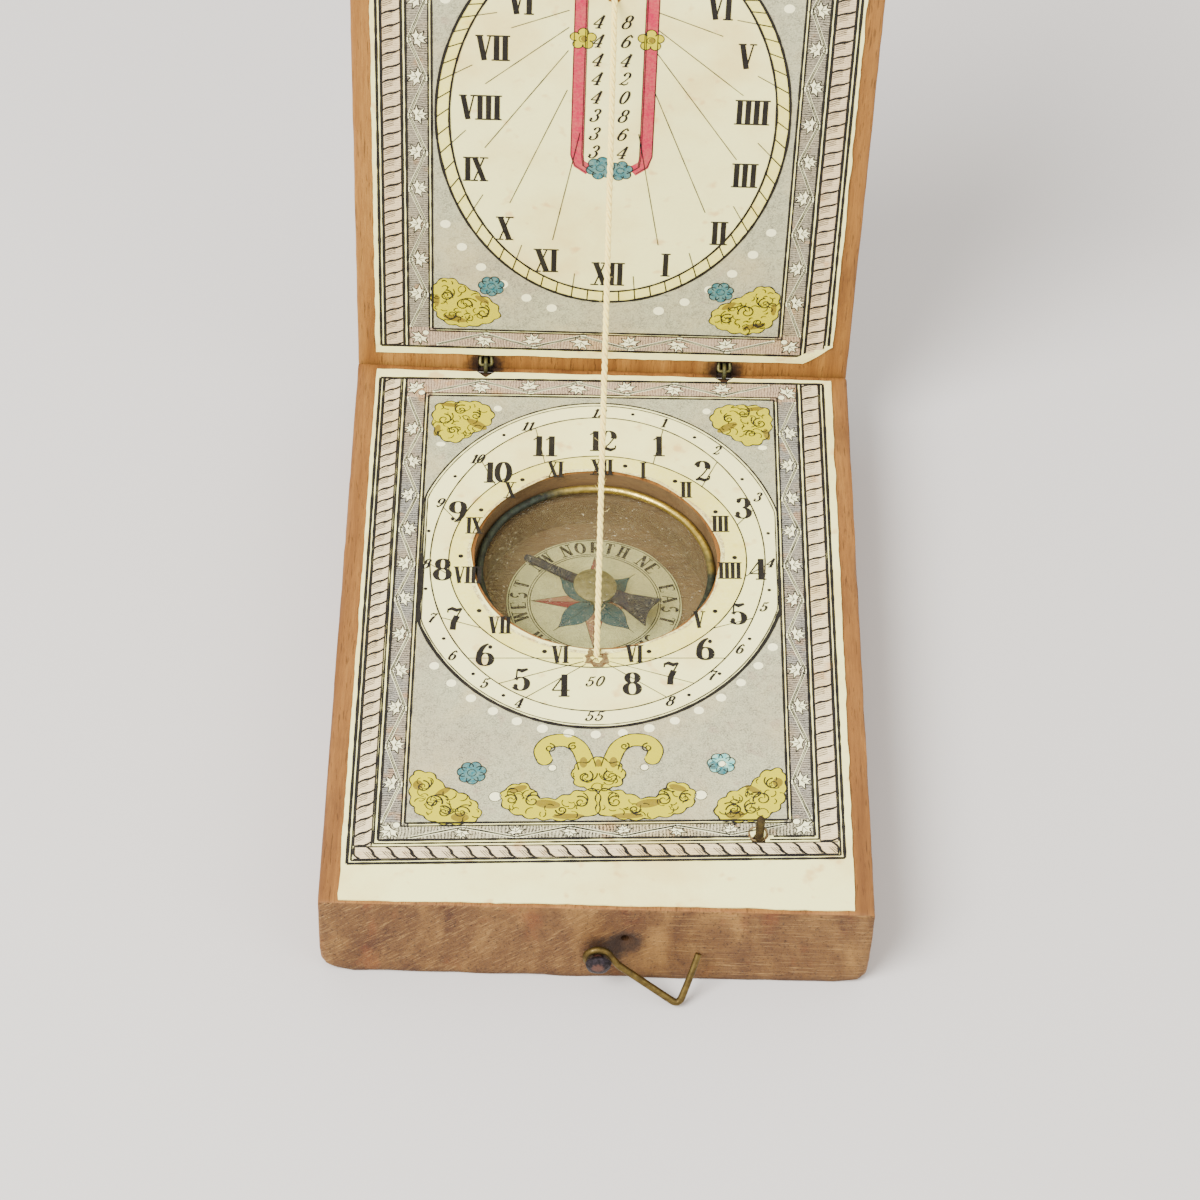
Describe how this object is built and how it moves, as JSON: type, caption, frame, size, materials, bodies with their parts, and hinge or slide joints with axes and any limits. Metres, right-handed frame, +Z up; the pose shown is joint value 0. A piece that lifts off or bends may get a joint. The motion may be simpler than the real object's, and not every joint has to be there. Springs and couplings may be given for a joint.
{
  "type": "pocket sundial",
  "caption": "Wooden folding pocket sundial: a hinged lid stretches a thread over a printed hour dial with a sunken compass, and a wire hook holds it shut",
  "frame": {"origin": "middle of the base's underside, on the table", "axes": "+Z up, +X to the right seen from the latch, -Y to the front where the latch is; the lid stands open behind the base"},
  "size_m": [0.054, 0.0886, 0.0869],
  "materials": {
    "wood": "bare fruitwood, worn smooth and darkened at the edges",
    "printed_paper": "old cream paper, printed in black and coloured by hand",
    "brass": "drawn brass wire, dull and olive with age",
    "iron": "wrought nail, dark and rusty",
    "blued_steel": "blued steel, dull with age",
    "glass": "thin hand-cut window glass",
    "thread": "twisted cotton thread"
  },
  "bodies": {
    "base": {"base_leaf": "wood", "base_paper": "printed_paper", "compass_rose": "printed_paper", "pivot_pin": "brass", "compass_glass": "glass", "glass_ring": "brass", "locating_peg": "brass", "gnomon_thread": "thread", "lower_knot": "thread", "base_eye_left": "brass", "base_eye_right": "brass", "latch_nail": "iron"},
    "lid": {"lid_leaf": "wood", "lid_paper": "printed_paper", "lid_eye_left": "brass", "lid_eye_right": "brass", "upper_knot": "thread"},
    "needle": {"compass_needle": "blued_steel", "needle_cap": "brass"},
    "latch": {"latch_hook": "brass"}
  },
  "joints": [
    {"name": "lid_hinge", "type": "hinge", "parent": "base", "child": "lid", "pos_m": [0, 0.038, 0.01095], "axis": [1, 0, 0], "range_deg": [0, 90], "deforming": ["gnomon_thread"]},
    {"name": "needle_spin", "type": "hinge", "parent": "base", "child": "needle", "pos_m": [-0.0005, 0.00904, 0.0062], "axis": [0, 0, 1], "continuous": true},
    {"name": "latch_swing", "type": "hinge", "parent": "base", "child": "latch", "pos_m": [0.00035, -0.038, 0.0042], "axis": [0, -1, 0], "range_deg": [0, 115]}
  ]
}
